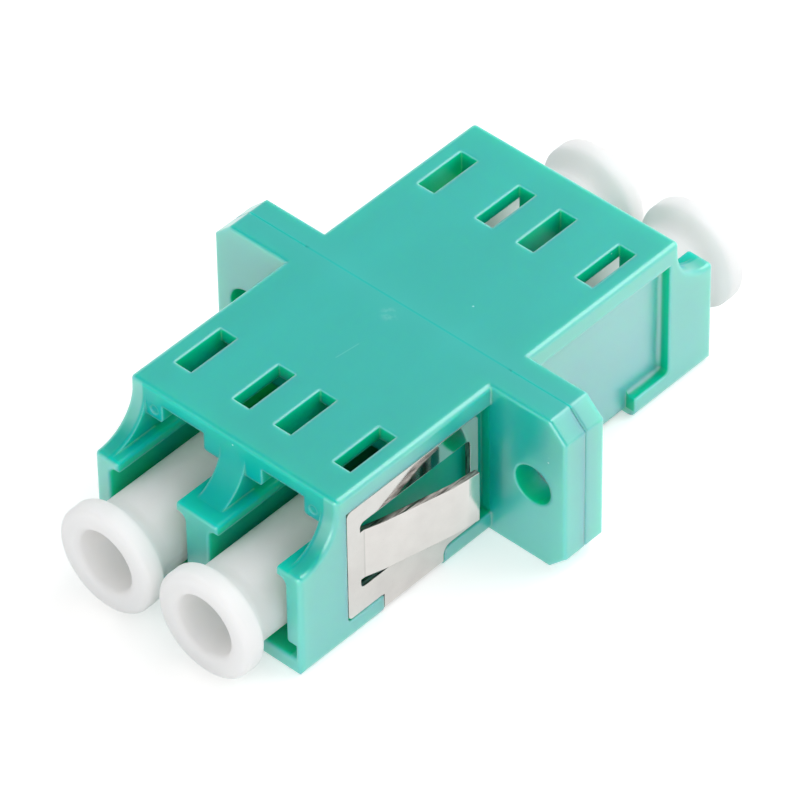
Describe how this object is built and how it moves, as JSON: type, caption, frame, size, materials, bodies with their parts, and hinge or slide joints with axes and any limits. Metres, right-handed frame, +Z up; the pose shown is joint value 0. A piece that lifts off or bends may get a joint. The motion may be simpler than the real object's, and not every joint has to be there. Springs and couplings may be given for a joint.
{
  "type": "duplex fibre adapter",
  "caption": "Flanged fibre-optic coupler with side-by-side latched ports, screw ears, a spring clip for panel mounting and pull-out dust caps.",
  "frame": {"origin": "midway between the ports on the weld seam of the flange, on the flat underside", "axes": "+X across the ports towards the right-hand ear, +Y along the fibres from the half with the spring clip (front) to the half without it (rear), +Z up to the face with the latch windows"},
  "size_m": [0.022, 0.0346, 0.0092],
  "materials": {
    "housing_plastic": "aqua moulded plastic, satin to glossy, a little translucent at thin edges",
    "clip_steel": "bright rolled spring steel sheet",
    "sleeve_ceramic": "polished white ceramic",
    "cap_plastic": "milky white soft plastic, slightly translucent"
  },
  "bodies": {
    "housing": {"front_housing": "housing_plastic", "rear_housing": "housing_plastic", "panel_clip": "clip_steel", "alignment_sleeve_left": "sleeve_ceramic", "alignment_sleeve_right": "sleeve_ceramic"},
    "front_left_cap": {"dust_cap_front_left": "cap_plastic"},
    "front_right_cap": {"dust_cap_front_right": "cap_plastic"},
    "rear_left_cap": {"dust_cap_rear_left": "cap_plastic"},
    "rear_right_cap": {"dust_cap_rear_right": "cap_plastic"}
  },
  "joints": [
    {"name": "front_left_cap_slide", "type": "slide", "parent": "housing", "child": "front_left_cap", "axis": [0, -1, 0], "range_m": [0, 0.012]},
    {"name": "front_right_cap_slide", "type": "slide", "parent": "housing", "child": "front_right_cap", "axis": [0, -1, 0], "range_m": [0, 0.012]},
    {"name": "rear_left_cap_slide", "type": "slide", "parent": "housing", "child": "rear_left_cap", "axis": [0, 1, 0], "range_m": [0, 0.012]},
    {"name": "rear_right_cap_slide", "type": "slide", "parent": "housing", "child": "rear_right_cap", "axis": [0, 1, 0], "range_m": [0, 0.012]}
  ]
}
